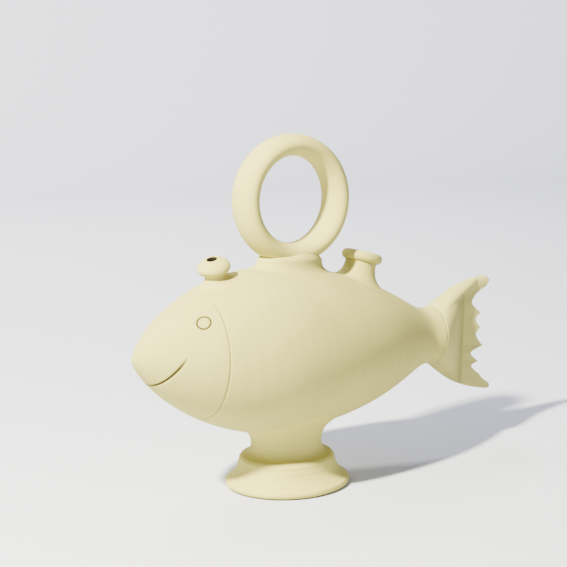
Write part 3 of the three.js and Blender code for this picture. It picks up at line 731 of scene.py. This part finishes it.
def clay(name, tint, ring_tilt, ring_scale):
    """Dry fired clay: a pale ground with broad soft clouds, thin wheel lines, fine grain and a few small
    pits, with painted shade where it is scored, inside the bores and along the fin's crease."""
    made = bpy.data.materials.new(name)
    made.use_nodes = True
    tree = made.node_tree
    shader = tree.nodes["Principled BSDF"]
    shader.inputs["Roughness"].default_value = 0.88
    shader.inputs["Specular IOR Level"].default_value = 0.22
    place = tree.nodes.new("ShaderNodeTexCoord")

    def noise(scale, detail, roughness):
        cloud = tree.nodes.new("ShaderNodeTexNoise")
        cloud.inputs["Scale"].default_value = scale
        cloud.inputs["Detail"].default_value = detail
        cloud.inputs["Roughness"].default_value = roughness
        tree.links.new(place.outputs["Object"], cloud.inputs["Vector"])
        return cloud.outputs["Fac"]

    def ramp(source, *stops):
        made_ramp = tree.nodes.new("ShaderNodeValToRGB")
        points = made_ramp.color_ramp.elements
        for order, (position, colour) in enumerate(stops):
            point = points[order] if order < 2 else points.new(position)
            point.position = position
            point.color = (*colour, 1)
        tree.links.new(source, made_ramp.inputs["Fac"])
        return made_ramp.outputs["Color"]

    def mix(blend, amount, first, second):
        mixer = tree.nodes.new("ShaderNodeMix")
        mixer.data_type = "RGBA"
        mixer.blend_type = blend
        mixer.inputs["Factor"].default_value = amount
        tree.links.new(first, mixer.inputs["A"])
        tree.links.new(second, mixer.inputs["B"])
        return mixer.outputs["Result"]

    def grey(value):
        return (value, value, value)

    turn = tree.nodes.new("ShaderNodeMapping")
    turn.inputs["Rotation"].default_value = ring_tilt
    tree.links.new(place.outputs["Object"], turn.inputs["Vector"])
    lines = tree.nodes.new("ShaderNodeTexWave")
    lines.wave_type = "BANDS"
    lines.bands_direction = "X"
    lines.inputs["Scale"].default_value = ring_scale
    lines.inputs["Distortion"].default_value = 0.5
    lines.inputs["Detail"].default_value = 3
    lines.inputs["Detail Scale"].default_value = 0.6
    tree.links.new(turn.outputs["Vector"], lines.inputs["Vector"])

    dark = tuple(channel * shade for channel, shade in zip(tint, (0.94, 0.93, 0.89)))
    light = tuple(min(channel * shade, 1) for channel, shade in zip(tint, (1.04, 1.04, 1.06)))
    ground = ramp(noise(22, 4, 0.55), (0.3, dark), (0.72, light))
    wheel = ramp(lines.outputs["Fac"], (0.0, grey(0.97)), (0.6, grey(1.0)))
    grain = noise(900, 3, 0.6)
    specks = ramp(grain, (0.28, grey(0.86)), (0.42, grey(1.0)))
    pits = ramp(noise(260, 2, 0.5), (0.2, grey(0.8)), (0.29, grey(1.0)))
    colour = mix("MULTIPLY", 0.8, ground, wheel)
    colour = mix("MULTIPLY", 0.5, colour, specks)
    colour = mix("MULTIPLY", 0.6, colour, pits)
    score = tree.nodes.new("ShaderNodeAttribute")
    score.attribute_name = "scored"
    # Painted shade: the scored amount darkens the clay towards near black in grooves, bores and the fin's
    # crease.
    deep, deepest = (0.16, 0.13, 0.09), (0.02, 0.018, 0.015)
    shade = ramp(score.outputs["Fac"], (0.03, grey(1.0)), (0.3, deep), (1.0, deepest))
    colour = mix("MULTIPLY", 1.0, colour, shade)
    tree.links.new(colour, shader.inputs["Base Color"])

    bump = tree.nodes.new("ShaderNodeBump")
    bump.inputs["Strength"].default_value = 0.18
    bump.inputs["Distance"].default_value = 0.0004
    tree.links.new(grain, bump.inputs["Height"])
    lined = tree.nodes.new("ShaderNodeBump")
    lined.inputs["Strength"].default_value = 0.05
    lined.inputs["Distance"].default_value = 0.0004
    tree.links.new(lines.outputs["Fac"], lined.inputs["Height"])
    tree.links.new(bump.outputs["Normal"], lined.inputs["Normal"])
    tree.links.new(lined.outputs["Normal"], shader.inputs["Normal"])
    return made


# Stage

def sweep():
    """Floor and backdrop in one: a flat disc that bends up by a quarter circle to a wall on the far side."""
    profile = np.concatenate([
        np.stack([np.linspace(0, SWEEP_FLAT, 14), np.zeros(14)], -1),
        oval((SWEEP_FLAT, SWEEP_BEND), SWEEP_BEND, SWEEP_BEND, -np.pi / 2, 0, 16)[1:],
        [(SWEEP_FLAT + SWEEP_BEND, SWEEP_TOP)],
    ])
    angle = np.arange(96)[:, None] * TURN / 96
    radius = profile[None, :, 0]
    height = profile[None, :, 1] * smooth(np.cos(angle - SWEEP_FACING), -0.1, 0.5)
    grid = np.stack(np.broadcast_arrays(radius * np.cos(angle), radius * np.sin(angle), height), -1)
    mesh = ring_mesh("sweep", grid, False)
    work = bmesh.new()
    work.from_mesh(mesh)
    bmesh.ops.remove_doubles(work, verts=work.verts, dist=1e-6)
    for face in work.faces:
        face.smooth = True
        if face.normal.dot(Vector((0, 0, 3)) - face.calc_center_median()) < 0:
            face.normal_flip()
    work.to_mesh(mesh)
    work.free()
    paper = bpy.data.materials.new("paper")
    paper.use_nodes = True
    shader = paper.node_tree.nodes["Principled BSDF"]
    shader.inputs["Base Color"].default_value = (*PAPER_TINT, 1)
    shader.inputs["Roughness"].default_value = 0.95
    shader.inputs["Specular IOR Level"].default_value = 0.1
    mesh.materials.append(paper)
    floor = bpy.data.objects.new("sweep", mesh)
    bpy.context.scene.collection.objects.link(floor)


def lamp(name, place, aim, size, power, colour):
    """A round lamp at a place, turned to an aim."""
    data = bpy.data.lights.new(name, "AREA")
    data.color = colour
    data.shape = "DISK"
    data.size = size
    data.energy = power
    made = bpy.data.objects.new(name, data)
    made.location = place
    made.rotation_mode = "QUATERNION"
    made.rotation_quaternion = (Vector(place) - Vector(aim)).to_track_quat("Z", "Y")
    bpy.context.scene.collection.objects.link(made)


def lights():
    """One small key lamp high on the nose's side, a broad one for the backdrop behind the jug, an even
    sky."""
    lamp(
        "key", place=(-1.26, -0.37, 1.44), aim=(-0.02, 0, 0.13),
        size=0.12, power=242, colour=(1, 0.97, 0.82))
    lamp(
        "backdrop", place=(0.1, 1.5, 2.2), aim=(0.9, 2.9, 0.4),
        size=1.6, power=205, colour=(1, 0.985, 0.95))
    world = bpy.data.worlds.new("sky")
    world.use_nodes = True
    sky = world.node_tree.nodes["Background"]
    sky.inputs["Color"].default_value = (*SKY_TINT, 1)
    sky.inputs["Strength"].default_value = SKY_STRENGTH
    bpy.context.scene.world = world


def camera():
    """The photograph's place and angle, with a small roll."""
    data = bpy.data.cameras.new("camera")
    data.sensor_width = 36
    data.lens = CAMERA_LENS
    data.clip_end = 50
    ahead = Vector(CAMERA_AHEAD).normalized()
    side = ahead.cross(Vector(CAMERA_UP)).normalized()
    up = side.cross(ahead)
    made = bpy.data.objects.new("camera", data)
    turn = Matrix((side, up, -ahead)).transposed()
    made.matrix_world = Matrix.Translation(CAMERA_PLACE) @ turn.to_4x4()
    bpy.context.scene.collection.objects.link(made)
    bpy.context.scene.camera = made


# Making

ALONG_FISH = (0, NOSE_RISE, 0)
UPRIGHT = (0, math.pi / 2, 0)
body_clay = clay("body clay", (0.44, 0.4, 0.105), ALONG_FISH, 26)
tail_clay = clay("tail clay", (0.45, 0.41, 0.12), ALONG_FISH, 18)
handle_clay = clay("handle clay", (0.48, 0.43, 0.11), UPRIGHT, 20)
neck_clay = clay("neck clay", (0.48, 0.43, 0.11), UPRIGHT, 60)
foot_clay = clay("foot clay", (0.51, 0.455, 0.11), UPRIGHT, 70)

head(body_clay)
fish_trunk = trunk(body_clay)
fin(tail_clay)
ring(handle_clay)
collar(handle_clay)
filler_neck(neck_clay)
drinking_spout(neck_clay)
stem(foot_clay)
base(foot_clay)


def bore_line(place, lean):
    """The start of a bore on the skin and its direction, in the row frame."""
    origin, _, _, up = on_back(place, lean)
    start = Vector(to_row(origin))
    return start, (Vector(to_row(origin + up)) - start).normalized()


drilled(fish_trunk, *bore_line(FILLER_PLACE, FILLER_LEAN), (FILLER_BORE + 1) * MM, 4 * WALL * MM)
drilled(fish_trunk, *bore_line(SPOUT_PLACE, SPOUT_LEAN), (SPOUT_BORE + 1) * MM, 4 * WALL * MM)

sweep()
lights()
camera()
